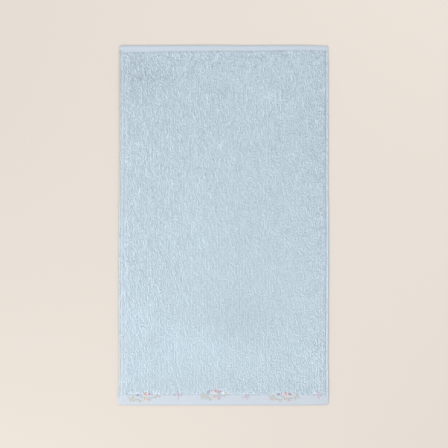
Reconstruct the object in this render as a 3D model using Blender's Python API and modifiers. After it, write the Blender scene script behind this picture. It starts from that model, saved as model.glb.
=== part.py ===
"""Hand towel: one length of terry cloth, laid flat with its front up.

The cloth is woven in one piece. Each end is a smooth woven band folded into
a hem, each long side is a narrow folded hem, and looped pile fills the rest.
Metres, +Z up. The origin is under the middle of the towel, on the surface it
lies on. The wide end hem, which carries the embroidery, is towards -Y.
"""

import math

import bmesh
import bpy

MM = 0.001

# Driving sizes
WIDTH = 500 * MM
LENGTH = 857 * MM
PILE_DEPTH = 4.6 * MM  # the looped cloth, through both of its faces
CORNER_RADIUS = 4.5 * MM
GRID_STEP = 15.5 * MM  # between the lines of the pile, away from the hems

FRONT_HEM = 22 * MM  # the flowered end hem
BACK_HEM_LEFT = 14 * MM  # the plain end hem narrows from left to right
BACK_HEM_RIGHT = 9 * MM
LEFT_HEM = 13 * MM
RIGHT_HEM = 6.5 * MM

# Lines of the grid between the hems, across the towel and along it
INNER_COLUMNS = round((WIDTH - LEFT_HEM - RIGHT_HEM) / GRID_STEP)
INNER_ROWS = round((LENGTH - FRONT_HEM - BACK_HEM_LEFT) / GRID_STEP)

# Sections through the hems, from the edge inwards: how far in (a share of the
# hem's width, and millimetres past that), then the heights of the underside
# and of the top in millimetres.
END_SECTION = (
    # share, past, underside, top
    (0.00, 0.0, 0.6, 1.5),
    (0.00, 0.7, 0.1, 2.2),
    (0.00, 2.2, 0.0, 2.5),
    (0.50, 0.0, 0.0, 2.6),
    (0.86, 0.0, 0.0, 2.4),
    (0.90, 0.0, 0.0, 1.9),
    (0.94, 0.0, 0.0, 2.3),
    (1.00, 1.4, 0.0, 3.7),
    (1.00, 5.0, 0.0, 4.6),
)
SIDE_SECTION = (
    # share, past, underside, top
    (0.00, 0.0, 0.8, 1.9),
    (0.00, 0.7, 0.1, 2.9),
    (0.00, 2.0, 0.0, 3.5),
    (0.75, 0.0, 0.0, 3.4),
    (1.00, 0.0, 0.0, 2.6),
    (1.00, 2.0, 0.0, 3.5),
    (1.00, 6.0, 0.0, 4.6),
)

# How far the edges stand outside a true rectangle, in millimetres
SIDE_EDGES = (
    # share of the length from the flowered end, left edge, right edge
    (0.000, 1.0, 0.2),
    (0.013, 3.4, 1.0),
    (0.047, 1.3, 0.3),
    (0.100, -0.2, -0.4),
    (0.270, 1.0, 0.3),
    (0.440, 1.0, 1.2),
    (0.500, 0.7, 0.8),
    (0.600, -0.3, -0.3),
    (0.720, -0.8, -0.1),
    (0.860, -0.7, 0.1),
    (1.000, -0.4, -0.3),
)
END_EDGES = (
    # share of the width from the left, flowered end, plain end
    (0.00, -0.8, -0.6),
    (0.03, 0.0, -0.4),
    (0.45, 0.2, 0.6),
    (0.60, 0.0, -0.3),
    (0.85, 0.2, 0.4),
    (0.97, -0.2, -0.6),
    (1.00, -0.9, -1.4),
)

# Low ripples, where the cloth doesn't lie quite flat
RIPPLES = (
    # x, y, heading in degrees, half length, half width, lift in millimetres
    (8, -258, 74, 92, 58, 2.2),
    (-96, -238, 118, 170, 92, 1.5),
    (-222, 322, 112, 66, 44, 1.5),
    (198, 52, 88, 160, 46, 1.4),
    (-152, -372, 4, 58, 30, 1.0),
    (-12, -378, -6, 62, 28, 0.9),
    (128, -362, 8, 60, 34, 0.9),
    (-62, 262, 34, 118, 66, 1.2),
    (118, 322, 142, 84, 58, 1.1),
    (-156, 62, 98, 122, 60, 1.1),
    (112, -134, 58, 104, 62, 1.2),
)


def clear_scene():
    for old in list(bpy.data.objects):
        bpy.data.objects.remove(old, do_unlink=True)


def read_table(table, at, column):
    """A column of a short table at a place between its rows, eased."""
    for low, high in zip(table, table[1:]):
        if at <= high[0]:
            share = (at - low[0]) / (high[0] - low[0])
            share = max(0.0, share)
            share = share * share * (3 - 2 * share)
            return low[column] + (high[column] - low[column]) * share
    return table[-1][column]


def section_places(section, hem_width):
    """How far in from the edge each row of a hem's section lies."""
    return [share * hem_width + past * MM for share, past, _, _ in section]


def lines_across(span, near, far, inner_count):
    """Places of all lines from one edge to the other: hem, pile, hem."""
    first, last = near[-1], span - far[-1]
    inner = [
        first + (last - first) * step / (inner_count + 1)
        for step in range(1, inner_count + 1)
    ]
    return near + inner + [span - place for place in reversed(far)]


def heights_across(section, inner_count):
    """Underside and top of each line, in the order of lines_across."""
    hem = [(under * MM, top * MM) for _, _, under, top in section]
    return hem + [(0.0, PILE_DEPTH)] * inner_count + hem[::-1]


def corner_inset(from_end):
    """How far a rounded corner draws the side edge in, near an end."""
    if from_end >= CORNER_RADIUS:
        return 0.0
    rest = CORNER_RADIUS - from_end
    return CORNER_RADIUS - math.sqrt(CORNER_RADIUS**2 - rest**2)


def ripple_lift(x, y):
    """How far the ripples raise the cloth off the surface here."""
    lift = 0.0
    for centre_x, centre_y, heading, half_length, half_width, height in RIPPLES:
        angle = math.radians(heading)
        away_x, away_y = x - centre_x * MM, y - centre_y * MM
        along = away_x * math.cos(angle) + away_y * math.sin(angle)
        across = away_y * math.cos(angle) - away_x * math.sin(angle)
        reach = math.hypot(along / (half_length * MM), across / (half_width * MM))
        if reach < 1:
            lift += height * MM * 0.5 * (1 + math.cos(math.pi * reach))
    return lift


def back_hem_width(share_across):
    return BACK_HEM_LEFT + (BACK_HEM_RIGHT - BACK_HEM_LEFT) * share_across


def place_of(column, row):
    """Where a line along the towel crosses a line across it, seen from above."""
    left = section_places(SIDE_SECTION, LEFT_HEM)
    right = section_places(SIDE_SECTION, RIGHT_HEM)
    share_across = lines_across(WIDTH, left, right, INNER_COLUMNS)[column] / WIDTH
    back = section_places(END_SECTION, back_hem_width(share_across))
    front = section_places(END_SECTION, FRONT_HEM)
    front_out = read_table(END_EDGES, share_across, 1) * MM
    back_out = read_table(END_EDGES, share_across, 2) * MM
    length = LENGTH + front_out + back_out
    from_front = lines_across(length, front, back, INNER_ROWS)[row]

    share_along = min(1.0, max(0.0, from_front / LENGTH))
    inset = corner_inset(min(from_front, length - from_front))
    left_out = read_table(SIDE_EDGES, share_along, 1) * MM - inset
    right_out = read_table(SIDE_EDGES, share_along, 2) * MM - inset
    width = WIDTH + left_out + right_out
    from_left = lines_across(width, left, right, INNER_COLUMNS)[column]
    x = from_left - WIDTH / 2 - left_out
    y = from_front - LENGTH / 2 - front_out
    return x, y


def centre_over_origin(grid):
    """Moves the cloth so that its outline is centred on the origin."""
    across = [vertex.co.x for vertex in grid.verts]
    along = [vertex.co.y for vertex in grid.verts]
    shift = (-(min(across) + max(across)) / 2, -(min(along) + max(along)) / 2, 0)
    bmesh.ops.translate(grid, vec=shift, verts=grid.verts)


def build_cloth(name, collection):
    """The underside as an open surface, given its thickness by Solidify."""
    column_heights = heights_across(SIDE_SECTION, INNER_COLUMNS)
    row_heights = heights_across(END_SECTION, INNER_ROWS)
    last_column, last_row = len(column_heights) - 1, len(row_heights) - 1

    grid = bmesh.new()
    bmesh.ops.create_grid(grid, x_segments=last_column, y_segments=last_row, size=0.5)
    thickness = []
    for vertex in grid.verts:
        column = round((vertex.co.x + 0.5) * last_column)
        row = round((vertex.co.y + 0.5) * last_row)
        x, y = place_of(column, row)
        under = max(column_heights[column][0], row_heights[row][0])
        top = min(column_heights[column][1], row_heights[row][1])
        vertex.co = (x, y, under + ripple_lift(x, y))
        thickness.append(top - under)
    centre_over_origin(grid)

    mesh = bpy.data.meshes.new(name)
    grid.to_mesh(mesh)
    grid.free()
    mesh.shade_smooth()
    cloth = bpy.data.objects.new(name, mesh)
    collection.objects.link(cloth)

    group = cloth.vertex_groups.new(name="thickness")
    for index, depth in enumerate(thickness):
        group.add([index], depth / PILE_DEPTH, "REPLACE")
    shell = cloth.modifiers.new("cloth_thickness", "SOLIDIFY")
    shell.thickness = PILE_DEPTH
    shell.offset = 1
    shell.vertex_group = group.name
    return cloth


def terry_material():
    material = bpy.data.materials.new("terry_cotton")
    material.use_nodes = True
    shader = material.node_tree.nodes["Principled BSDF"]
    shader.inputs["Base Color"].default_value = (0.52, 0.63, 0.71, 1)
    shader.inputs["Roughness"].default_value = 0.95
    shader.inputs["Metallic"].default_value = 0.0
    shader.inputs["Sheen Weight"].default_value = 0.3
    return material


def main():
    clear_scene()
    collection = bpy.data.collections.new("hand_towel")
    bpy.context.scene.collection.children.link(collection)
    cloth = build_cloth("towel_cloth", collection)
    cloth.data.materials.append(terry_material())


main()
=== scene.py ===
import math

import bpy
import numpy as np
from mathutils import Matrix, Vector, noise
from mathutils.bvhtree import BVHTree


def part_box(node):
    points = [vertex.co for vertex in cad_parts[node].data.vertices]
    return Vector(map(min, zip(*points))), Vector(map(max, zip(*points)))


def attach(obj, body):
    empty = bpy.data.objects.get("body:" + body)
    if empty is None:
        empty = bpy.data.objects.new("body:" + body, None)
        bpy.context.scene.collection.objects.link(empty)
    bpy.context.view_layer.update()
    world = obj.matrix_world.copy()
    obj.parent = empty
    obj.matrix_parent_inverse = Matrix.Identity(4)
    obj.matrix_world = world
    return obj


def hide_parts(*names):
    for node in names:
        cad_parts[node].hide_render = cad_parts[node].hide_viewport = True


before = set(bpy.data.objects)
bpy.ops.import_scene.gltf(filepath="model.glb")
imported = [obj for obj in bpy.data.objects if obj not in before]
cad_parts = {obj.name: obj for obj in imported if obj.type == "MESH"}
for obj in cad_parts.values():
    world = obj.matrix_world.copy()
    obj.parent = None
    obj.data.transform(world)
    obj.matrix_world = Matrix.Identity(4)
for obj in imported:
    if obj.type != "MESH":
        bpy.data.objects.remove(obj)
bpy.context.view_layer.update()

# Hand towel in pale blue terry, laid flat. Metres, +X to the right, +Y away
# from the flowered hem, +Z up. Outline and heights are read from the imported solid.

clothNode = "towel_cloth"
lowCorner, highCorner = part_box(clothNode)
millimetre = 0.001


# Small helpers for node trees

def newNode(tree, kind, settings=None, **inputs):
    node = tree.nodes.new(kind)
    for name, value in (settings or {}).items():
        setattr(node, name, value)
    for name, value in inputs.items():
        feed(tree, node, name, value)
    return node


def feed(tree, node, name, value):
    # name is a socket's name with _ for spaces, or in0, in1 for its place
    if name.startswith("in") and name[2:].isdigit():
        target = node.inputs[int(name[2:])]
    else:
        target = node.inputs[name.replace("_", " ")]
    if isinstance(value, bpy.types.NodeSocket):
        tree.links.new(value, target)
    else:
        target.default_value = value


def doMath(tree, operation, first, second=0.0, third=0.0):
    node = newNode(tree, "ShaderNodeMath", {"operation": operation}, in0=first, in1=second, in2=third)
    return node.outputs[0]


def doVector(tree, operation, first, second=(0, 0, 0)):
    node = newNode(tree, "ShaderNodeVectorMath", {"operation": operation})
    feed(tree, node, "in0", first)
    if operation == "SCALE":
        feed(tree, node, "Scale", second)
        return node.outputs[0]
    feed(tree, node, "in1", second)
    return node.outputs["Value" if operation == "LENGTH" else "Vector"]


def newTree(name, sockets):
    # sockets: kind -> names of the inputs of that kind
    tree = bpy.data.node_groups.new(name, "GeometryNodeTree")
    tree.interface.new_socket(name="Geometry", in_out="INPUT", socket_type="NodeSocketGeometry")
    tree.interface.new_socket(name="Geometry", in_out="OUTPUT", socket_type="NodeSocketGeometry")
    for kind, labels in sockets.items():
        for label in labels:
            tree.interface.new_socket(name=label, in_out="INPUT", socket_type=f"NodeSocket{kind}")
    inputs = tree.nodes.new("NodeGroupInput").outputs
    return tree, inputs, tree.nodes.new("NodeGroupOutput")


def runTree(obj, tree, values):
    # sets the inputs by identifier, then turns the result into a plain mesh
    modifier = obj.modifiers.new(tree.name, "NODES")
    modifier.node_group = tree
    identifiers = {item.name: item.identifier for item in tree.interface.items_tree
                   if item.in_out == "INPUT"}
    for label, value in values.items():
        modifier[identifiers[label]] = value
    graph = bpy.context.evaluated_depsgraph_get()
    mesh = bpy.data.meshes.new_from_object(obj.evaluated_get(graph), depsgraph=graph)
    obj.modifiers.remove(modifier)
    old, obj.data = obj.data, mesh
    bpy.data.meshes.remove(old)
    mesh.name = obj.name
    return obj


def newObject(name, data):
    obj = bpy.data.objects.new(name, data)
    bpy.context.scene.collection.objects.link(obj)
    return obj


def namedValue(tree, name, kind="FLOAT"):
    node = newNode(tree, "GeometryNodeInputNamedAttribute", {"data_type": kind}, Name=name)
    return node.outputs["Attribute"]


def storeNamed(tree, geometry, name, value, kind="FLOAT", domain="POINT"):
    node = newNode(tree, "GeometryNodeStoreNamedAttribute", {"data_type": kind, "domain": domain},
                   Geometry=geometry, Name=name, Value=value)
    return node.outputs[0]


def randomBetween(tree, low, high, seed):
    node = newNode(tree, "FunctionNodeRandomValue", {"data_type": "FLOAT"}, in2=low, in3=high, Seed=seed)
    return node.outputs[1]


def lessThan(tree, first, second):
    node = newNode(tree, "FunctionNodeCompare", {"data_type": "FLOAT", "operation": "LESS_THAN"},
                   A=first, B=second)
    return node.outputs[0]


def archedTube(tree, given, radius, corners):
    # corners: x and z of one foot, of the two handles and of the other foot
    ends = [newNode(tree, "ShaderNodeCombineXYZ", X=x, Z=z).outputs[0] for x, z in corners]
    arch = newNode(tree, "GeometryNodeCurvePrimitiveBezierSegment", {"mode": "POSITION"},
                   Resolution=given["Steps"], Start=ends[0], Start_Handle=ends[1],
                   End_Handle=ends[2], End=ends[3])
    ring = newNode(tree, "GeometryNodeCurvePrimitiveCircle", {"mode": "RADIUS"},
                   Resolution=given["Sides"], Radius=radius)
    tube = newNode(tree, "GeometryNodeCurveToMesh", Curve=arch.outputs[0],
                   Profile_Curve=ring.outputs[0], Fill_Caps=True)
    return tube.outputs[0]


def finishTree(tree, given, result, geometry, spare):
    # drops the spare attribute, shades smooth and gives the material
    plain = newNode(tree, "GeometryNodeRemoveAttribute", Geometry=geometry, Name=spare)
    smooth = newNode(tree, "GeometryNodeSetShadeSmooth", Geometry=plain.outputs[0])
    finished = newNode(tree, "GeometryNodeSetMaterial", Geometry=smooth.outputs[0],
                       Material=given["Material"])
    tree.links.new(finished.outputs[0], result.inputs[0])
    return tree


def rayTreeOf(mesh):
    return BVHTree.FromPolygons([v.co for v in mesh.vertices], [p.vertices for p in mesh.polygons])


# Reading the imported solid: its outline, and its top and underside anywhere

solidTree = rayTreeOf(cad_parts[clothNode].data)

outline = {
    "stationStep": 0.004,
    "sideCorner": 0.0032, "endCorner": 0.008,   # the solid's rounded corners, left out
    "cornerRadius": 0.002,                      # the cloth's own, which shows sharper
    "probeHeights": [h * millimetre for h in (0.9, 1.3, 1.8, 2.4, 3.0)],
    "outside": 1.0, "over": 0.1,                # rays start this far out, and this far up or down
    "inset": 0.0004, "shrink": 0.998,           # to stay over the solid when reading its heights
    "endSpill": 0.0008,                         # the folded ends bulge a little past the solid
}


def edgeFrom(x, y, dx, dy):
    # the outermost point of the solid met on the way in, over several heights
    found = []
    for height in outline["probeHeights"]:
        start = Vector((x - dx * outline["outside"], y - dy * outline["outside"], height))
        hit = solidTree.ray_cast(start, Vector((dx, dy, 0)))[0]
        if hit is not None:
            found.append(hit.x * dx + hit.y * dy)
    return min(found) * (dx + dy)


def edgeStations(low, high, corner, probe):
    count = round((high - low) / outline["stationStep"])
    places = np.linspace(low + corner, high - corner, count)
    return places, np.array([probe(place) for place in places])


sideCorner, endCorner = outline["sideCorner"], outline["endCorner"]
leftStations = edgeStations(lowCorner.y, highCorner.y, sideCorner, lambda y: edgeFrom(0, y, 1, 0))
rightStations = edgeStations(lowCorner.y, highCorner.y, sideCorner, lambda y: edgeFrom(0, y, -1, 0))
frontStations = edgeStations(lowCorner.x, highCorner.x, endCorner,
                             lambda x: edgeFrom(x, 0, 0, 1) - outline["endSpill"])
backStations = edgeStations(lowCorner.x, highCorner.x, endCorner,
                            lambda x: edgeFrom(x, 0, 0, -1) + outline["endSpill"])
print("outline read", len(leftStations[0]), len(frontStations[0]))


def solidHeights(x, y):
    over = outline["over"]
    top = solidTree.ray_cast(Vector((x, y, over)), Vector((0, 0, -1)))[0]
    under = solidTree.ray_cast(Vector((x, y, -over)), Vector((0, 0, 1)))[0]
    if top is None or under is None:
        return None
    return top.z, under.z


# The cloth: one closed sheet with its hems, replacing the plain solid

cloth = {
    "pitch": 0.007,
    "hemColumns": 5, "hemRows": 8,         # how many pitches the hems take up
    "columnInset": (0.003, 0.001),         # left and right, where the end edges are looked up
    "frontHem": 0.0245, "backHemLeft": 0.0182, "backHemRight": 0.0132,
    "leftHem": 0.0122, "rightHem": 0.0065,
    "endSeam": 0.90, "sideSeam": 1.0,      # where the stitches run, as a share of the hem
    "foldLines": (0, 0.0003, 0.0008, 0.0016, 0.0026),
    "seamLines": (-0.0012, -0.0006, 0, 0.0006, 0.0012),
    "endRise": (0.0006, 0.0016, 0.003, 0.005),
    "sideRise": (0.0022, 0.004, 0.006),
    "frontSteps": 6, "backSteps": 4, "leftSteps": 3, "rightSteps": 2,
    "easing": 6,
    "loopStand": 0.0021,                   # how far the loops stand over the ground weave
    "pileRunIn": 0.003,                    # the pile rises over this length behind an end band
    "toneRunIn": 0.004,                    # tones and threads change over this one
    # how high the pile stands by a side hem, as a share, and where, from the edge and the seam
    "pileOnHem": 0.5, "pileInSeam": 0.35, "pileBehindSeam": 0.9,
    "pileFromEdge": (0, 0.0010, 0.0022), "pileFromSeam": (-0.0018, -0.0006, 0.0006, 0.0026, 0.006),
    "groundRelief": 0.0004, "undersideRelief": 0.0007,
    "reliefScale": 1 / 0.006, "reliefStretch": 0.7, "pitLayer": 7.0,
    # painted light and shade along each edge, by the distance in: painted shade where an edge rolls under,
    # painted light on the rolled crowns and on folds that turn away from the key
    "tonePlaces": (0, 0.0015, 0.0037, 0.0060, 0.0083, 0.0107, 0.0130),
    "leftTone": (0.88, 0.97, 0.87, 0.93, 1.23, 1.10, 1.0),
    "rightTone": (1.20, 1.28, 1.14, 0.89, 1.0, 1.0, 1.0),
    "frontTone": (0.78, 0.89, 0.98, 1.0, 1.0, 1.0, 1.0),
    "backTone": (1.22, 1.06, 0.98, 1.0, 1.0, 1.0, 1.0),
    "bandTone": 0.35,                      # how much of the painted side shading is left on the end bands
    # where the pile starts behind the flowered band: painted light on the band against the shade of the
    # pile beside it, painted shade on the first loops, which no neighbours shade
    "pileStartPlaces": (-0.0055, -0.0030, -0.0012, 0.0006, 0.0030, 0.0050),
    "pileStartTone": (1.0, 1.045, 1.045, 0.89, 0.83, 1.0),
    "hemFade": 0.001,                      # the colour of a side hem fades out over this length
    "crown": 0.0004,                       # the side hems are rounded, a little over the solid
    "frontMiddle": 0.012, "backMiddle": 0.006,
}


def hemLines(width, seam, steps, rise):
    fold = np.array(cloth["foldLines"])
    seamPlace = seam * width + np.array(cloth["seamLines"])
    run = np.linspace(fold[-1], seamPlace[0], steps + 1)[1:-1]
    return np.concatenate([fold, run, seamPlace, width + np.array(rise)])


def lineShares(low, high, near, far, innerCount):
    inner = np.linspace(low + near[-1], high - far[-1], innerCount + 2)[1:-1]
    return np.concatenate([low + near, inner, high - far[::-1]])


def backHemAt(x):
    # the back hem narrows evenly from left to right
    share = (x - lowCorner.x) / (highCorner.x - lowCorner.x)
    return cloth["backHemLeft"] + (cloth["backHemRight"] - cloth["backHemLeft"]) * share


def easeAlong(field, axis, low, high, passes):
    # evens the solid's facets out along one direction, between two lines
    field = np.moveaxis(field.copy(), axis, 0)
    for _ in range(passes):
        middle = 0.25 * field[low - 1:high - 1] + 0.5 * field[low:high] + 0.25 * field[low + 1:high + 1]
        field[low:high] = middle
    return np.moveaxis(field, 0, axis)


def sidePile(distance, hem):
    # how high the pile stands near a side edge: short on the hem, shorter in its seam
    places = [*cloth["pileFromEdge"], *(hem + step for step in cloth["pileFromSeam"])]
    onHem, inSeam = cloth["pileOnHem"], cloth["pileInSeam"]
    return np.interp(distance, places, [0, 0, onHem, onHem, inSeam, inSeam, cloth["pileBehindSeam"], 1.0])


def paintedEdgeShadingAt(distance, tones):
    # painted light and shade at a distance in from an edge
    return np.interp(distance, cloth["tonePlaces"], tones)


def cornerInset(fromEnd):
    # how far a rounded corner draws the side edges in
    radius = outline["cornerRadius"]
    rest = np.clip(radius - fromEnd, 0, radius)
    return radius - np.sqrt(radius ** 2 - rest ** 2)


def makeClothPlaces():
    left = hemLines(cloth["leftHem"], cloth["sideSeam"], cloth["leftSteps"], cloth["sideRise"])
    right = hemLines(cloth["rightHem"], cloth["sideSeam"], cloth["rightSteps"], cloth["sideRise"])
    innerColumns = round((highCorner.x - lowCorner.x) / cloth["pitch"]) - cloth["hemColumns"]
    innerRows = round((highCorner.y - lowCorner.y) / cloth["pitch"]) - cloth["hemRows"]
    insetLeft, insetRight = cloth["columnInset"]
    nominal = lineShares(lowCorner.x + insetLeft, highCorner.x - insetRight, left, right, innerColumns)
    columns = []
    for x in nominal:
        low, high = np.interp(x, *frontStations), np.interp(x, *backStations)
        front = hemLines(cloth["frontHem"], cloth["endSeam"], cloth["frontSteps"], cloth["endRise"])
        back = hemLines(backHemAt(x), cloth["endSeam"], cloth["backSteps"], cloth["endRise"])
        columns.append(lineShares(low, high, front, back, innerRows))
    y = np.array(columns)
    x = np.empty_like(y)
    for row in range(y.shape[1]):
        inset = cornerInset(np.minimum(y[:, row] - y[:, 0], y[:, -1] - y[:, row]))
        lows = np.interp(y[:, row], *leftStations) + inset
        highs = np.interp(y[:, row], *rightStations) - inset
        for column in range(y.shape[0]):
            x[column, row] = lineShares(lows[column], highs[column], left, right, innerColumns)[column]
    return x, y, (len(left), len(right), len(front), len(back))


def makeClothHeights(x, y, groups):
    inset = outline["inset"]
    top, under = np.empty_like(x), np.empty_like(x)
    for column in range(x.shape[0]):
        for row in range(x.shape[1]):
            px = min(max(x[column, row], x[0, row] + inset), x[-1, row] - inset)
            py = min(max(y[column, row], y[column, 0] + inset), y[column, -1] - inset)
            heights = solidHeights(px, py)
            while heights is None:
                px, py = px * outline["shrink"], py * outline["shrink"]
                heights = solidHeights(px, py)
            top[column, row], under[column, row] = heights
    leftCount, rightCount, frontCount, backCount = groups
    spans = (leftCount, x.shape[0] - rightCount), (frontCount, x.shape[1] - backCount)
    for axis, (low, high) in enumerate(spans):
        top = easeAlong(top, axis, low, high, cloth["easing"])
        under = easeAlong(under, axis, low, high, cloth["easing"])
    return top, under


def pileShareAt(x, fromEdges):
    fromLeft, fromRight, fromFront, fromBack = fromEdges
    ends = np.minimum(fromFront - cloth["frontHem"], fromBack - backHemAt(x)) / cloth["pileRunIn"]
    sides = np.minimum(sidePile(fromLeft, cloth["leftHem"]), sidePile(fromRight, cloth["rightHem"]))
    return np.clip(np.minimum(ends, sides), 0, 1)


def paintedShadingAndHemShare(fromEdges):
    # the painted light and shade at each place, and how far it belongs to a side hem rather than an end
    # band
    fromLeft, fromRight, fromFront, fromBack = fromEdges
    runIn, kept = cloth["toneRunIn"], cloth["bandTone"]
    past = np.minimum(fromLeft - cloth["leftHem"], fromRight - cloth["rightHem"])
    pastEnds = np.minimum(fromFront - cloth["frontHem"], fromBack - cloth["backHemRight"])
    offBand = np.clip(pastEnds / runIn + 1, 0, 1)
    tone = paintedEdgeShadingAt(fromLeft, cloth["leftTone"]) * paintedEdgeShadingAt(fromRight, cloth["rightTone"])
    tone = 1 + (tone - 1) * (kept + (1 - kept) * offBand)
    tone = tone * paintedEdgeShadingAt(fromFront, cloth["frontTone"]) * paintedEdgeShadingAt(fromBack, cloth["backTone"])
    start = np.interp(fromFront - cloth["frontHem"], cloth["pileStartPlaces"], cloth["pileStartTone"])
    tone = tone * (1 + (start - 1) * np.clip(past / runIn, 0, 1))
    return tone, np.clip(-past / cloth["hemFade"], 0, 1) * offBand


def crownOfSides(fromEdges):
    # a round crown along each side hem
    rounds = [np.sin(np.pi * np.clip(distance / hem, 0, 1)) for distance, hem
              in zip(fromEdges, (cloth["leftHem"], cloth["rightHem"]))]
    return cloth["crown"] * (rounds[0] + rounds[1])


def levelBand(top, distances, hems, middle):
    # from its middle on, an end band stays level until the pile begins
    for heights, distance, hem in zip(top, distances, hems):
        order = np.argsort(distance)
        level = np.interp(middle, distance[order], heights[order])
        past = np.clip((distance - hem) / cloth["pileRunIn"], 0, 1)
        inner = (distance > middle) & (past < 1)
        heights[inner] = (level + (heights - level) * past)[inner]


def reliefNoise(x, y, stretch, layer):
    scale = cloth["reliefScale"]
    return np.array([[noise.noise(Vector((x[i, j] * scale, y[i, j] * scale * stretch, layer)))
                      for j in range(x.shape[1])] for i in range(x.shape[0])])


def makeCloth():
    x, y, groups = makeClothPlaces()
    top, under = makeClothHeights(x, y, groups)
    # how far in each point is from the left, right, front and back edges
    fromEdges = (x - x[0:1], x[-1:] - x, y - y[:, 0:1], y[:, -1:] - y)
    top = top + crownOfSides(fromEdges)
    levelBand(top, fromEdges[2], np.full(len(x), cloth["frontHem"]), cloth["frontMiddle"])
    levelBand(top, fromEdges[3], backHemAt(x[:, 0]), cloth["backMiddle"])
    pile = pileShareAt(x, fromEdges)
    tone, side = paintedShadingAndHemShare(fromEdges)
    bumps = reliefNoise(x, y, cloth["reliefStretch"], 0.0)
    pits = reliefNoise(x, y, 1.0, cloth["pitLayer"])
    topSide = top - pile * cloth["loopStand"] + pile * cloth["groundRelief"] * bumps
    underSide = under + pile * cloth["undersideRelief"] * (0.5 + 0.5 * pits).clip(0, 1)
    edge = np.zeros_like(x, bool)
    edge[0], edge[-1], edge[:, 0], edge[:, -1] = True, True, True, True
    topSide[edge] = 0.5 * (top + under)[edge]

    columnCount, rowCount = x.shape
    upper = np.arange(columnCount * rowCount).reshape(columnCount, rowCount)
    lower = upper.copy()
    inside = ~edge
    lower[inside] = columnCount * rowCount + np.arange(inside.sum())
    points = np.stack([x, y, topSide], -1).reshape(-1, 3)
    below = np.stack([x[inside], y[inside], underSide[inside]], -1)
    faces = []
    for sheet, turn in ((upper, 1), (lower, -1)):
        quads = np.stack([sheet[:-1, :-1], sheet[1:, :-1], sheet[1:, 1:], sheet[:-1, 1:]], -1)
        faces.append(quads.reshape(-1, 4)[:, ::turn])
    mesh = bpy.data.meshes.new("terry_cloth")
    mesh.from_pydata(np.concatenate([points, below]).tolist(), [], np.concatenate(faces).tolist())
    mesh.shade_smooth()
    for name, field in (("pile", pile), ("hemTone", tone), ("sideHem", side)):
        values = np.concatenate([field.reshape(-1), field[inside]]).astype(np.float32)
        mesh.attributes.new(name, "FLOAT", "POINT").data.foreach_set("value", values)
    return newObject("terry_cloth", mesh)


# Finishes

finish = {
    # the yarn's colour at the loops' crowns, and the root colour with painted shade toward the feet of the
    # loops, where they shade each other; the ground weave between them takes the root colour too
    "tip": (0.724, 0.813, 0.877, 1), "root": (0.631, 0.743, 0.813, 1),
    "frontBand": (0.479, 0.531, 0.587, 1), "backBand": (0.527, 0.604, 0.672, 1),
    "sideHem": (0.405, 0.490, 0.550, 1),
    "roughness": 0.92, "sheen": 0.25, "sheenRoughness": 0.5,
    "mottleScale": 34, "mottle": 0.02,
    "speckleScale": (270.0, 330.0, 60.0), "speckleEnds": (0.25, 0.75),
    "speckle": 0.14, "groundSpeckle": 0.015,
    # short loops by the hems get painted shade, as if a full pile stood around them
    "yarnSpread": 0.14, "fewDark": 0.35, "shortLoops": 0.74,
    "frontCalm": 0.45,                     # the pile is more even toward the flowered end
    "weavePitch": 0.0009, "groundScale": 420, "relief": 0.6, "reliefDepth": 0.0005,
    "fuzzScale": 2600, "fuzz": 0.35, "fuzzDepth": 0.0003,
    # soft patches of painted light and shade, standing in for the shading of gentle ripples in the cloth:
    # middle x and y, reach x and y, how much lighter or darker
    "nap": (
        (-0.217, 0.356, 0.148, 0.119, -0.052), (0.046, -0.212, 0.138, 0.110, -0.040),
        (-0.066, -0.286, 0.081, 0.072, 0.028), (-0.202, -0.214, 0.076, 0.086, 0.025),
        (-0.066, 0.000, 0.095, 0.179, 0.021), (0.093, 0.318, 0.110, 0.124, 0.019),
        (0.222, 0.203, 0.072, 0.143, -0.016), (0.000, -0.412, 0.700, 0.075, -0.045),
    ),
}


def newMaterial(name, roughness, sheen=0.0):
    material = bpy.data.materials.new(name)
    material.use_nodes = True
    tree = material.node_tree
    shader = tree.nodes["Principled BSDF"]
    shader.inputs["Roughness"].default_value = roughness
    shader.inputs["Sheen Weight"].default_value = sheen
    shader.inputs["Sheen Roughness"].default_value = finish["sheenRoughness"]
    return material, tree, shader


def mixColour(tree, factor, first, second, blend="MIX"):
    node = newNode(tree, "ShaderNodeMix", {"data_type": "RGBA", "blend_type": blend},
                   in0=factor, in6=first, in7=second)
    return node.outputs[2]


def attribute(tree, name):
    node = newNode(tree, "ShaderNodeAttribute", {"attribute_name": name})
    return node.outputs["Fac"]


def objectPlace(tree):
    return newNode(tree, "ShaderNodeTexCoord").outputs["Object"]


def noiseValue(tree, place, scale, detail=2.0):
    node = newNode(tree, "ShaderNodeTexNoise", Vector=place, Scale=scale, Detail=detail)
    return node.outputs["Fac"]


def scaled(tree, colour, shade):
    grey = newNode(tree, "ShaderNodeCombineColor", Red=shade, Green=shade, Blue=shade)
    return mixColour(tree, 1.0, colour, grey.outputs[0], "MULTIPLY")


def shaded(tree, colour, spread, amount):
    # darker and lighter by the amount as spread goes from 0 to 1
    signed = doMath(tree, "MULTIPLY_ADD", spread, 2.0, -1.0)
    return scaled(tree, colour, doMath(tree, "MULTIPLY_ADD", signed, amount, 1.0))


def towardBack(tree, place, atFront, atBack):
    y = newNode(tree, "ShaderNodeSeparateXYZ", Vector=place).outputs[1]
    node = newNode(tree, "ShaderNodeMapRange", From_Min=lowCorner.y, From_Max=highCorner.y,
                   To_Min=atFront, To_Max=atBack, Value=y)
    return node.outputs[0]


def napShade(tree, place):
    # soft round patches of painted light and shade, strongest in the middle and gone at their reach
    shade = 1.0
    for x, y, reachX, reachY, strength in finish["nap"]:
        fromMiddle = doVector(tree, "SUBTRACT", place, (x, y, 0))
        fromMiddle = doVector(tree, "MULTIPLY", fromMiddle, (1 / reachX, 1 / reachY, 0))
        patch = newNode(tree, "ShaderNodeMapRange", {"interpolation_type": "SMOOTHSTEP"},
                        Value=doVector(tree, "LENGTH", fromMiddle), To_Min=strength, To_Max=0.0)
        shade = doMath(tree, "ADD", patch.outputs[0], shade)
    return shade


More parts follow.
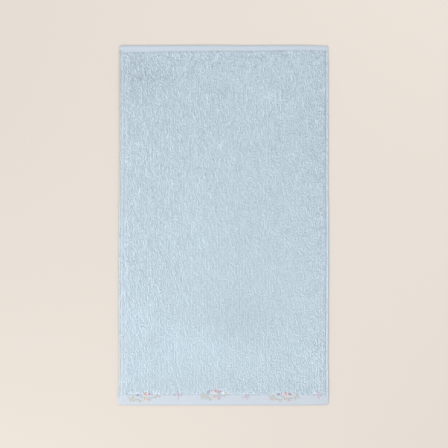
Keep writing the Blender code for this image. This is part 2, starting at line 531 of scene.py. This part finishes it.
def mottled(tree, colour, place, speckle):
    # cotton takes the dye a little unevenly, over a hand's width and from loop to loop
    colour = shaded(tree, colour, noiseValue(tree, place, finish["mottleScale"]), finish["mottle"])
    small = doVector(tree, "MULTIPLY", place, finish["speckleScale"])
    low, high = finish["speckleEnds"]
    contrast = newNode(tree, "ShaderNodeMapRange", Value=noiseValue(tree, small, 1.0, 1.0),
                       From_Min=low, From_Max=high)
    return shaded(tree, colour, contrast.outputs[0], speckle)


def addBump(tree, shader, height, strength, depth):
    bump = newNode(tree, "ShaderNodeBump", Strength=strength, Distance=depth, Height=height)
    feed(tree, shader, "Normal", bump.outputs[0])


def loopMaterial():
    material, tree, shader = newMaterial("terryLoopYarn", finish["roughness"], finish["sheen"])
    place = objectPlace(tree)
    # painted shade: each loop darkens from its crown toward its feet
    colour = mixColour(tree, attribute(tree, "upTheLoop"), finish["root"], finish["tip"])
    calm = towardBack(tree, place, finish["frontCalm"], 1.0)
    # most loops are nearly as light as each other and a few are darker, with the mean kept
    bias = finish["fewDark"]
    tone = doMath(tree, "POWER", attribute(tree, "yarnTone"), bias)
    tone = doMath(tree, "ADD", tone, 0.5 - 1 / (1 + bias))
    colour = shaded(tree, colour, tone, doMath(tree, "MULTIPLY", calm, finish["yarnSpread"]))
    # painted shade on short loops, with the painted light and shade read off the cloth and the painted
    # ripple shading
    fullLoops = newNode(tree, "ShaderNodeMapRange", Value=attribute(tree, "pileHere"),
                        To_Min=finish["shortLoops"])
    loopPaintedShading = doMath(tree, "MULTIPLY", fullLoops.outputs[0], attribute(tree, "hemTone"))
    colour = scaled(tree, colour, doMath(tree, "MULTIPLY", loopPaintedShading, napShade(tree, place)))
    speckle = doMath(tree, "MULTIPLY", calm, finish["speckle"])
    feed(tree, shader, "Base_Color", mottled(tree, colour, place, speckle))
    fuzz = noiseValue(tree, place, finish["fuzzScale"], 3.0)
    addBump(tree, shader, fuzz, finish["fuzz"], finish["fuzzDepth"])
    return material


def weaveHeight(tree, place):
    # plain weave: yarns rise over each other by turns
    parts = newNode(tree, "ShaderNodeSeparateXYZ", Vector=place)
    turn = math.pi / finish["weavePitch"]
    across = doMath(tree, "SINE", doMath(tree, "MULTIPLY", parts.outputs[0], turn))
    along = doMath(tree, "SINE", doMath(tree, "MULTIPLY", parts.outputs[1], turn))
    return doMath(tree, "MULTIPLY_ADD", doMath(tree, "MULTIPLY", across, along), 0.5, 0.5)


def clothMaterial():
    material, tree, shader = newMaterial("terryGroundWeave", finish["roughness"], finish["sheen"])
    place = objectPlace(tree)
    pile = attribute(tree, "pile")
    band = mixColour(tree, towardBack(tree, place, 0.0, 1.0), finish["frontBand"], finish["backBand"])
    hem = mixColour(tree, attribute(tree, "sideHem"), band, finish["sideHem"])
    # painted shade: the ground weave between the loops takes the root colour and the painted ripple
    # shading, and the hems take the painted light and shade of the edges
    ground = scaled(tree, finish["root"], napShade(tree, place))
    colour = mixColour(tree, pile, scaled(tree, hem, attribute(tree, "hemTone")), ground)
    feed(tree, shader, "Base_Color", mottled(tree, colour, place, finish["groundSpeckle"]))
    height = newNode(tree, "ShaderNodeMix", {"data_type": "FLOAT"}, in0=pile,
                     in2=weaveHeight(tree, place), in3=noiseValue(tree, place, finish["groundScale"], 3.0))
    addBump(tree, shader, height.outputs[0], finish["relief"], finish["reliefDepth"])
    return material


# The pile: loops of yarn standing on the ground weave, in bands along the towel

pileLoops = {
    "bands": 5,
    "acrossPitch": 0.0036, "alongPitch": 0.0035, "jitter": (0.0017, 0.0016, 0.0),
    "height": 0.0031, "width": 0.0036, "yarn": 0.00088,
    "foot": -0.0003,                       # how high the feet end, just under the ground weave
    "handleOut": 1.1, "handleUp": 1.3,     # of the half width, and of the height
    "steps": 4, "sides": 3,
    "turn": (1.25, 1.9),                   # least and most, in radians from across the towel
    "lean": 0.0054, "bend": 1.5,
    "clump": (200.0, 90.0, 1.0), "clumpRise": 1.1,
    "drift": (45.0, 30.0, 1.0), "driftRise": 0.8,
    "heightSpread": 0.45, "leastHeight": 0.3, "leastPile": 0.12,
    # loops stand more even toward the flowered end
    "frontJitter": 0.68, "frontLean": 0.55, "frontSpread": 0.30,
    "clearing": 0.0014,                    # no loops this near the embroidery
    "dropFrom": 0.05, "drop": 0.2,         # rays down to the cloth: from how high and how far
    "seed": 11,
}


def makeLoopTree():
    tree, given, result = newTree("terryLoops", {
        "Object": ("Cloth", "Embroidery"),
        "Vector": ("Low Corner", "Jitter", "Clump Scale", "Drift Scale"),
        "Float": ("Band Width", "Band Length", "Loop Height", "Loop Width", "Yarn Radius", "Lean",
                  "Height Spread", "Front Jitter", "Front Lean", "Front Spread", "Clearing"),
        "Int": ("Columns", "Rows", "Steps", "Sides", "Seed"),
        "Material": ("Material",),
    })
    # roots: a grid of points, shaken a little
    grid = newNode(tree, "GeometryNodeMeshGrid", Size_X=given["Band Width"], Size_Y=given["Band Length"],
                   Vertices_X=given["Columns"], Vertices_Y=given["Rows"])
    half = newNode(tree, "ShaderNodeCombineXYZ", X=given["Band Width"], Y=given["Band Length"])
    middle = doVector(tree, "ADD", given["Low Corner"], doVector(tree, "SCALE", half.outputs[0], 0.5))
    shake = newNode(tree, "FunctionNodeRandomValue", {"data_type": "FLOAT_VECTOR"},
                    in0=(-1, -1, 0), in1=(1, 1, 0), Seed=given["Seed"])
    place = newNode(tree, "GeometryNodeInputPosition").outputs[0]
    calm = towardBack(tree, doVector(tree, "ADD", place, middle), given["Front Jitter"], 1.0)
    reach = doVector(tree, "SCALE", given["Jitter"], calm)
    shaken = doVector(tree, "MULTIPLY", shake.outputs[0], reach)
    points = newNode(tree, "GeometryNodeMeshToPoints", Mesh=grid.outputs["Mesh"])
    placed = newNode(tree, "GeometryNodeSetPosition", Geometry=points.outputs[0],
                     Offset=doVector(tree, "ADD", middle, shaken))

    # down onto the cloth, where it has pile
    clothInfo = newNode(tree, "GeometryNodeObjectInfo", {"transform_space": "ORIGINAL"},
                        Object=given["Cloth"])
    above = doVector(tree, "ADD", place, (0, 0, pileLoops["dropFrom"]))

    def below(name):
        ray = newNode(tree, "GeometryNodeRaycast", {"data_type": "FLOAT"},
                      Target_Geometry=clothInfo.outputs["Geometry"], Attribute=namedValue(tree, name),
                      Source_Position=above, Ray_Direction=(0, 0, -1), Ray_Length=pileLoops["drop"])
        return ray.outputs

    ray = below("pile")
    pileFound = doMath(tree, "MULTIPLY", ray["Attribute"], ray["Is Hit"])
    pileHere = storeNamed(tree, placed.outputs[0], "pileHere", pileFound)
    # the cloth's painted light and shade, carried over to each loop
    toneHere = storeNamed(tree, pileHere, "hemTone", below("hemTone")["Attribute"])
    lowered = newNode(tree, "GeometryNodeSetPosition", Geometry=toneHere, Position=ray["Hit Position"])
    rooted = namedValue(tree, "pileHere")
    bare = lessThan(tree, rooted, pileLoops["leastPile"])
    threads = newNode(tree, "GeometryNodeObjectInfo", {"transform_space": "ORIGINAL"},
                      Object=given["Embroidery"])
    away = newNode(tree, "GeometryNodeProximity", {"target_element": "FACES"},
                   Geometry=threads.outputs["Geometry"], Sample_Position=place)
    covered = lessThan(tree, away.outputs["Distance"], given["Clearing"])
    gone = newNode(tree, "FunctionNodeBooleanMath", {"operation": "OR"}, in0=bare, in1=covered)
    kept = newNode(tree, "GeometryNodeDeleteGeometry", {"domain": "POINT"},
                   Geometry=lowered.outputs[0], Selection=gone.outputs[0])

    # neighbours lean the same way, so that the pile parts and gathers in clumps
    def noiseAt(scale):
        spot = doVector(tree, "MULTIPLY", place, given[scale])
        return newNode(tree, "ShaderNodeTexNoise", Vector=spot, Scale=1.0, Detail=1.0).outputs

    near, far = noiseAt("Clump Scale"), noiseAt("Drift Scale")
    centred = doVector(tree, "SUBTRACT", near["Color"], (0.5, 0.5, 0.5))
    lean = doMath(tree, "MULTIPLY", given["Lean"], towardBack(tree, place, given["Front Lean"], 1.0))
    leanWay = doVector(tree, "SCALE", doVector(tree, "MULTIPLY", centred, (1, 1, 0)), lean)
    turn = randomBetween(tree, *pileLoops["turn"], doMath(tree, "ADD", given["Seed"], 1))
    heading = newNode(tree, "ShaderNodeCombineXYZ", Z=turn)
    spun = newNode(tree, "FunctionNodeEulerToRotation", Euler=heading.outputs[0])

    # taller and shorter loops, by clump, by drift and each by itself
    def riseOf(field, factor):
        return doMath(tree, "MULTIPLY", doMath(tree, "SUBTRACT", field, 0.5), factor)

    rise = randomBetween(tree, -0.5, 0.5, doMath(tree, "ADD", given["Seed"], 2))
    rise = doMath(tree, "ADD", rise, riseOf(near["Fac"], pileLoops["clumpRise"]))
    rise = doMath(tree, "ADD", rise, riseOf(far["Fac"], pileLoops["driftRise"]))
    evenness = towardBack(tree, place, given["Front Spread"], 1.0)
    spread = doMath(tree, "MULTIPLY", given["Height Spread"], evenness)
    tall = doMath(tree, "MULTIPLY", doMath(tree, "MULTIPLY_ADD", rise, spread, 1.0), rooted)
    tall = doMath(tree, "MAXIMUM", tall, pileLoops["leastHeight"])
    size = newNode(tree, "ShaderNodeCombineXYZ", X=1.0, Y=1.0, Z=tall)

    # one loop: a bent tube of yarn
    halfWidth = doMath(tree, "MULTIPLY", given["Loop Width"], 0.5)
    handleUp = doMath(tree, "MULTIPLY", given["Loop Height"], pileLoops["handleUp"])
    foot, out = pileLoops["foot"], pileLoops["handleOut"]
    corners = [(doMath(tree, "MULTIPLY", halfWidth, side), z)
               for side, z in ((-1.0, foot), (-out, handleUp), (out, handleUp), (1.0, foot))]
    tube = archedTube(tree, given, given["Yarn Radius"], corners)
    parts = newNode(tree, "ShaderNodeSeparateXYZ", Vector=place)
    upLoop = newNode(tree, "ShaderNodeMapRange", Value=parts.outputs[2], From_Min=0.0,
                     From_Max=given["Loop Height"])
    marked = storeNamed(tree, tube, "upTheLoop", upLoop.outputs[0])

    aimed = storeNamed(tree, kept.outputs[0], "leanWay", leanWay, "FLOAT_VECTOR")
    planted = newNode(tree, "GeometryNodeInstanceOnPoints", Points=aimed, Instance=marked,
                      Rotation=spun.outputs[0], Scale=size.outputs[0])
    yarnTone = randomBetween(tree, 0.0, 1.0, doMath(tree, "ADD", given["Seed"], 3))
    toned = storeNamed(tree, planted.outputs[0], "yarnTone", yarnTone, domain="INSTANCE")
    real = newNode(tree, "GeometryNodeRealizeInstances", Geometry=toned)

    # the feet stay on the ground and the crown bends over
    bendShare = doMath(tree, "POWER", namedValue(tree, "upTheLoop"), pileLoops["bend"])
    bend = doVector(tree, "SCALE", namedValue(tree, "leanWay", "FLOAT_VECTOR"), bendShare)
    bent = newNode(tree, "GeometryNodeSetPosition", Geometry=real.outputs[0], Offset=bend)
    return finishTree(tree, given, result, bent.outputs[0], "leanWay")


def makePile(clothObject, embroideryObject, material):
    tree = makeLoopTree()
    made = []
    width = highCorner.x - lowCorner.x
    length = highCorner.y - lowCorner.y
    rowsInAll = round(length / pileLoops["alongPitch"])
    columns = round(width / pileLoops["acrossPitch"])
    firstRows = [round(rowsInAll * band / pileLoops["bands"]) for band in range(pileLoops["bands"] + 1)]
    for band, (first, after) in enumerate(zip(firstRows, firstRows[1:])):
        rows = after - first
        step = length / rowsInAll
        low = lowCorner.y + (first + 0.5) * step
        obj = newObject(f"terry_loops_{band + 1}", bpy.data.meshes.new("loops"))
        runTree(obj, tree, {
            "Cloth": clothObject, "Low Corner": (lowCorner.x, low, 0.0),
            "Band Width": width, "Band Length": (rows - 1) * step,
            "Columns": columns, "Rows": rows, "Jitter": pileLoops["jitter"],
            "Loop Height": pileLoops["height"], "Loop Width": pileLoops["width"],
            "Yarn Radius": pileLoops["yarn"], "Steps": pileLoops["steps"], "Sides": pileLoops["sides"],
            "Lean": pileLoops["lean"], "Clump Scale": pileLoops["clump"],
            "Drift Scale": pileLoops["drift"], "Height Spread": pileLoops["heightSpread"],
            "Front Jitter": pileLoops["frontJitter"], "Front Lean": pileLoops["frontLean"],
            "Front Spread": pileLoops["frontSpread"],
            "Embroidery": embroideryObject, "Clearing": pileLoops["clearing"],
            "Seed": pileLoops["seed"] + 10 * band, "Material": material,
        })
        made.append(obj)
        print("pile band", band + 1, "triangles", sum(len(p.vertices) - 2 for p in obj.data.polygons))
    return made


clothObject = makeCloth()
clothObject.data.materials.append(clothMaterial())
print("cloth sheet made", len(clothObject.data.polygons))


# Threads: each stitch is a short arched thread laid on the cloth

thread = {
    "steps": 3, "sides": 4,
    "seamRadius": 0.00024, "seamRise": 0.0003, "seamStitch": 0.0026, "seamGap": 0.0006,
    # the front seam's thread is painted lighter, against the shade of its own arch
    "frontSeamLightenedColour": (0.56, 0.63, 0.69), "seamColour": (0.50, 0.57, 0.63),
    "cornerClear": 0.004,
    "floss": 0.00028, "flossRise": 0.0005, "flossPitch": 0.00052,
    "handle": 0.42, "sink": -0.6,          # of the thread's length, and of its radius
    "lift": 0.0004, "pileLift": 0.0009,    # over the ground weave, on the band and in the pile
    "heartLift": 0.0005,
    "roughness": 0.55, "toneScale": 900, "toneSpread": 0.08,
    "shake": 0.00012, "seed": 5,
}

flossColours = {
    "coral": (0.69, 0.52, 0.49), "amber": (0.71, 0.62, 0.49), "wine": (0.44, 0.30, 0.33),
    "magenta": (0.48, 0.36, 0.45), "rose": (0.68, 0.55, 0.60), "purple": (0.41, 0.37, 0.53),
    "lilac": (0.58, 0.54, 0.67), "blush": (0.63, 0.58, 0.68), "mint": (0.63, 0.69, 0.67),
    "green": (0.60, 0.64, 0.59), "olive": (0.60, 0.61, 0.56), "tan": (0.70, 0.64, 0.59),
    "brown": (0.57, 0.53, 0.51),
}

# A spray of small flowers, and a single blossom, in millimetres from the middle of each
spray = (
    # shape, x, y, heading in degrees, length, width, floss, floss of the heart
    ("stem", -19.0, -5.6, 171, 30.0, 2.4, "green", None),
    ("stem", 19.0, -1.2, 9, 30.0, -2.0, "brown", None),
    ("stem", -10.0, 1.2, 158, 16.0, 1.2, "olive", None),
    ("leaf", -37.0, -4.4, 118, 10.0, 3.6, "tan", None),
    ("leaf", -31.5, -2.6, 62, 11.0, 3.8, "green", None),
    ("leaf", -26.5, -4.0, 124, 11.5, 3.8, "tan", None),
    ("leaf", -24.5, 4.2, 28, 9.0, 4.0, "mint", None),
    ("leaf", -15.0, -9.0, -38, 11.0, 3.8, "olive", None),
    ("leaf", -29.0, -10.0, 196, 9.0, 3.4, "mint", None),
    ("bud", -17.0, 4.2, 24, 6.6, 5.4, "purple", "wine"),
    ("bud", -9.4, 6.4, 62, 5.6, 4.4, "lilac", "purple"),
    ("flower", 0.4, 6.0, 12, 10.0, 0, "coral", "wine"),
    ("flower", -0.8, -5.0, 40, 8.6, 0, "amber", "magenta"),
    ("bud", 11.0, 5.4, -30, 6.4, 5.2, "magenta", "wine"),
    ("bud", 16.5, 4.6, 10, 5.2, 4.2, "rose", "magenta"),
    ("bud", 10.0, -8.2, -12, 6.8, 4.6, "rose", "magenta"),
    ("leaf", 22.5, -3.6, -28, 10.0, 3.6, "mint", None),
    ("leaf", 27.5, 1.8, 24, 9.0, 3.2, "tan", None),
    ("leaf", 33.5, -0.6, -14, 7.0, 3.0, "green", None),
)
blossom = (
    ("flower", 0.0, 0.2, 30, 10.6, 0, "blush", "purple"),
    ("bud", -0.6, 7.0, 82, 5.6, 5.0, "blush", "lilac"),
    ("bud", 0.5, -6.6, 96, 5.4, 5.2, "blush", None),
    ("leaf", -7.2, -2.2, 200, 5.0, 2.4, "mint", None),
    ("leaf", 7.0, -1.8, -20, 4.6, 2.2, "mint", None),
)
border = (
    # design, x and y of its middle in metres, its turn in degrees, how wide and how tall
    (spray, -0.1864, -0.4090, 2, 1.0, 1.05), (blossom, -0.1078, -0.4045, 0, 1.0, 1.1),
    (spray, -0.0192, -0.4025, -2, 0.92, 1.3), (blossom, 0.0543, -0.4092, 4, 1.2, 0.9),
    (spray, 0.1478, -0.4085, -3, 0.96, 1.1), (blossom, 0.2270, -0.4040, -5, 1.1, 1.1),
)


# Proportions of the stitched shapes. Lengths are in millimetres and the rest are shares
stitchForm = {
    "leafSwell": 0.8, "leafSlant": 0.5, "budSlant": 0.25,
    "petals": 5, "petalWidth": 1.10, "petalStart": 0.22, "petalShoulder": 0.60,
    "petalFoot": 0.16, "petalHead": 0.46,
    "stemStitch": 1.9, "stemOverlap": 1.35, "stemRows": (-0.22, 0.22),
    "flowerHeart": 0.36, "budHeart": 0.5,
}


def leafStitches(length, width, pitch):
    # from the vein out to both edges, toward the tip
    steps = round(length / pitch)
    for step in range(steps):
        share = (step + 0.5) / steps
        half = 0.5 * width * math.sin(math.pi * share ** stitchForm["leafSwell"])
        along = (share - 0.5) * length
        for side in (half, -half):
            yield (along, 0.0), (along + stitchForm["leafSlant"] * half, side)


def budStitches(length, width, pitch):
    steps = round(length / pitch)
    for step in range(steps):
        share = (step + 0.5) / steps
        half = 0.5 * width * math.sqrt(1 - (2 * share - 1) ** 2)
        along, slant = (share - 0.5) * length, stitchForm["budSlant"] * half
        yield (along - slant, -half), (along + slant, half)


def flowerStitches(size, width, pitch):
    # round petals, each filled from the heart outwards
    reach = 0.5 * size
    petalWidth = stitchForm["petalWidth"] * reach
    shoulder = stitchForm["petalShoulder"]
    steps = round(petalWidth / pitch)
    for petal in range(stitchForm["petals"]):
        angle = petal * math.tau / stitchForm["petals"]
        c, s = math.cos(angle), math.sin(angle)
        for step in range(steps):
            side = 2 * (step + 0.5) / steps - 1
            inner = stitchForm["petalStart"] * reach
            outer = reach * (shoulder + (1 - shoulder) * math.sqrt(1 - side ** 2))
            near = stitchForm["petalFoot"] * petalWidth * side
            far = stitchForm["petalHead"] * petalWidth * side
            yield (inner * c - near * s, inner * s + near * c), (outer * c - far * s, outer * s + far * c)


def stemStitches(length, bow, pitch):
    # overlapping stitches along a shallow bow, in two rows
    steps = round(length / stitchForm["stemStitch"])
    for step in range(steps):
        ends = []
        for share in (step / steps, min(1.0, (step + stitchForm["stemOverlap"]) / steps)):
            ends.append(((share - 0.5) * length, bow * math.sin(math.pi * share)))
        for row in stitchForm["stemRows"]:
            yield (ends[0][0], ends[0][1] + row), (ends[1][0], ends[1][1] + row)


stitchShapes = {"leaf": leafStitches, "bud": budStitches, "flower": flowerStitches, "stem": stemStitches}

clothTree = rayTreeOf(clothObject.data)


def onCloth(x, y, lift):
    hit = clothTree.ray_cast(Vector((x, y, outline["over"])), Vector((0, 0, -1)))[0]
    return Vector((x, y, hit.z + lift))


def inPile(x, y):
    fromFront = y - np.interp(x, *frontStations) - cloth["frontHem"]
    return min(max(fromFront / cloth["toneRunIn"], 0.0), 1.0)


def motifStitches(row, middle, turn, wide, tall, chance):
    shape, x, y, heading, length, width, floss, heart = row
    pitch = thread["flossPitch"] / millimetre
    layers = [(stitchShapes[shape](length, width, pitch), floss, 0.0)]
    if heart:
        size = stitchForm["flowerHeart"] * length if shape == "flower" else stitchForm["budHeart"] * width
        layers.append((budStitches(size, size, pitch), heart, thread["heartLift"]))
    c, s = math.cos(math.radians(heading)), math.sin(math.radians(heading))
    for stitches, colour, over in layers:
        for ends in stitches:
            points = []
            for alongMotif, acrossMotif in ends:
                place = Vector(((x + alongMotif * c - acrossMotif * s) * wide,
                                (y + alongMotif * s + acrossMotif * c) * tall)) * millimetre
                place.rotate(Matrix.Rotation(math.radians(turn), 2))
                px, py = middle[0] + place.x, middle[1] + place.y
                px, py = px + chance.normal(0, thread["shake"]), py + chance.normal(0, thread["shake"])
                points.append(onCloth(px, py, thread["lift"] + over + thread["pileLift"] * inPile(px, py)))
            yield points[0], points[1], flossColours[colour]


def borderStitches():
    chance = np.random.default_rng(thread["seed"])
    for design, x, y, turn, wide, tall in border:
        for row in design:
            yield from motifStitches(row, (x, y), turn, wide, tall, chance)


def seamStitches():
    clear, stride = thread["cornerClear"], thread["seamStitch"] + thread["seamGap"]
    front, back, left, right = frontStations, backStations, leftStations, rightStations
    endSeam, sideSeam = cloth["endSeam"], cloth["sideSeam"]
    across = [lambda x: (x, np.interp(x, *front) + endSeam * cloth["frontHem"]),
              lambda x: (x, np.interp(x, *back) - endSeam * backHemAt(x))]
    along = [lambda y: (np.interp(y, *left) + sideSeam * cloth["leftHem"], y),
             lambda y: (np.interp(y, *right) - sideSeam * cloth["rightHem"], y)]
    colours = (thread["frontSeamLightenedColour"], thread["seamColour"])
    runs = [(*run, lowCorner.x + clear, highCorner.x - clear) for run in zip(across, colours)]
    runs += [(place, colours[1], lowCorner.y + clear, highCorner.y - clear) for place in along]
    for place, colour, first, last in runs:
        for start in np.arange(first, last - stride, stride):
            yield onCloth(*place(start), 0.0), onCloth(*place(start + thread["seamStitch"]), 0.0), colour


def makeThreadTree():
    tree, given, result = newTree("laidThreads", {
        "Float": ("Radius", "Rise"),
        "Int": ("Steps", "Sides"),
        "Material": ("Material",),
    })
    # one thread, a metre long, that each stitch shortens to its own span
    pull = doMath(tree, "MULTIPLY", given["Rise"], 4 / 3)
    sink = doMath(tree, "MULTIPLY", given["Radius"], thread["sink"])
    handle = thread["handle"]
    tube = archedTube(tree, given, given["Radius"],
                      ((-0.5, sink), (-handle, pull), (handle, pull), (0.5, sink)))
    span = namedValue(tree, "span", "FLOAT_VECTOR")
    turned = newNode(tree, "FunctionNodeAxesToRotation", {"primary_axis": "X", "secondary_axis": "Z"},
                     Primary_Axis=span, Secondary_Axis=(0, 0, 1))
    size = newNode(tree, "ShaderNodeCombineXYZ", X=doVector(tree, "LENGTH", span), Y=1.0, Z=1.0)
    laid = newNode(tree, "GeometryNodeInstanceOnPoints", Points=given["Geometry"],
                   Instance=tube, Rotation=turned.outputs[0], Scale=size.outputs[0])
    real = newNode(tree, "GeometryNodeRealizeInstances", Geometry=laid.outputs[0])
    return finishTree(tree, given, result, real.outputs[0], "span")


def threadMaterial():
    material, tree, shader = newMaterial("laidThread", thread["roughness"], finish["sheen"])
    floss = newNode(tree, "ShaderNodeAttribute", {"attribute_name": "threadColour"})
    uneven = noiseValue(tree, objectPlace(tree), thread["toneScale"], 2.0)
    colour = shaded(tree, floss.outputs["Color"], uneven, thread["toneSpread"])
    feed(tree, shader, "Base_Color", colour)
    return material


def makeThreads(name, stitches, tree, radius, rise, material):
    # the plan is one point a stitch, which the tree turns into threads
    stitches = list(stitches)
    mesh = bpy.data.meshes.new(name)
    mesh.from_pydata([(start + end) / 2 for start, end, _ in stitches], [], [])
    spans = np.array([end - start for start, end, _ in stitches], np.float32)
    colours = np.array([(*colour, 1.0) for _, _, colour in stitches], np.float32)
    for label, kind, field, values in (("span", "FLOAT_VECTOR", "vector", spans),
                                       ("threadColour", "FLOAT_COLOR", "color", colours)):
        mesh.attributes.new(label, kind, "POINT").data.foreach_set(field, values.reshape(-1))
    obj = runTree(newObject(name, mesh), tree, {
        "Radius": radius, "Rise": rise, "Steps": thread["steps"], "Sides": thread["sides"],
        "Material": material,
    })
    print(name, "stitches", len(stitches))
    return obj


threadTree = makeThreadTree()
flossMaterial = threadMaterial()
seamObject = makeThreads("hem_stitching", seamStitches(), threadTree,
                         thread["seamRadius"], thread["seamRise"], flossMaterial)
embroideryObject = makeThreads("flower_embroidery", borderStitches(), threadTree,
                               thread["floss"], thread["flossRise"], flossMaterial)
loopPieces = makePile(clothObject, embroideryObject, loopMaterial())
threadPieces = [seamObject, embroideryObject]


# Floor, light and camera, as in the photo: straight above, light from the flowered end

studio = {
    "floorSize": 40.0, "floorDrop": 0.0002,
    "floorColour": (0.640, 0.585, 0.531, 1), "floorRoughness": 0.9, "floorSpecular": 0.2,
    "floorEvening": (0.128, 0.183, 0.0), "floorReach": 0.7,   # lighter away from the key, up to a reach
    "keyHeading": (-0.55, -0.84), "keyDistance": 2.05, "keyHeight": 1.47, "keySize": 1.3,
    "keyPower": 40.0, "worldColour": (1.0, 1.0, 1.0, 1), "worldStrength": 0.93,
    "imageSize": 448, "pixel": 0.0023855,
    "originPixel": (223.04, 225.18),
    "cameraHeight": 3.2, "sensor": 36.0,
}


def makeFloor():
    size = studio["floorSize"] / 2
    mesh = bpy.data.meshes.new("floor")
    corners = [(-size, -size, 0), (size, -size, 0), (size, size, 0), (-size, size, 0)]
    mesh.from_pydata(corners, [], [(0, 1, 2, 3)])
    floor = newObject("floor", mesh)
    floor.location.z = -studio["floorDrop"]
    material, tree, shader = newMaterial("paleFloor", studio["floorRoughness"])
    slope = newNode(tree, "ShaderNodeVectorMath", {"operation": "DOT_PRODUCT"},
                    in0=objectPlace(tree), in1=studio["floorEvening"])
    limit = studio["floorReach"] * Vector(studio["floorEvening"]).length
    evening = newNode(tree, "ShaderNodeClamp", Value=slope.outputs["Value"], Min=-limit, Max=limit)
    shade = doMath(tree, "EXPONENT", evening.outputs[0])
    feed(tree, shader, "Base_Color", scaled(tree, studio["floorColour"], shade))
    shader.inputs["Specular IOR Level"].default_value = studio["floorSpecular"]
    mesh.materials.append(material)


def makeLights():
    lamp = bpy.data.lights.new("softKey", "AREA")
    lamp.shape = "SQUARE"
    lamp.size = studio["keySize"]
    lamp.energy = studio["keyPower"]
    key = newObject("softKey", lamp)
    heading = Vector((*studio["keyHeading"], 0)).normalized() * studio["keyDistance"]
    key.location = heading + Vector((0, 0, studio["keyHeight"]))
    key.rotation_euler = (-key.location).to_track_quat("-Z", "Y").to_euler()
    world = bpy.data.worlds.new("studioWorld")
    world.use_nodes = True
    background = world.node_tree.nodes["Background"]
    background.inputs["Color"].default_value = studio["worldColour"]
    background.inputs["Strength"].default_value = studio["worldStrength"]
    bpy.context.scene.world = world


def makeCamera():
    view = bpy.data.cameras.new("viewFromAbove")
    view.sensor_width = studio["sensor"]
    frameWidth = studio["imageSize"] * studio["pixel"]
    view.lens = studio["sensor"] * studio["cameraHeight"] / frameWidth
    camera = newObject("viewFromAbove", view)
    half = studio["imageSize"] / 2
    camera.location = ((half - studio["originPixel"][0]) * studio["pixel"],
                       (studio["originPixel"][1] - half) * studio["pixel"], studio["cameraHeight"])
    bpy.context.scene.camera = camera


makeFloor()
makeLights()
makeCamera()
bpy.context.scene.view_settings.view_transform = "Standard"
print("studio made")

# Every piece moves with the towel's one body

for piece in [clothObject] + loopPieces + threadPieces:
    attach(piece, "root")
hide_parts(clothNode)
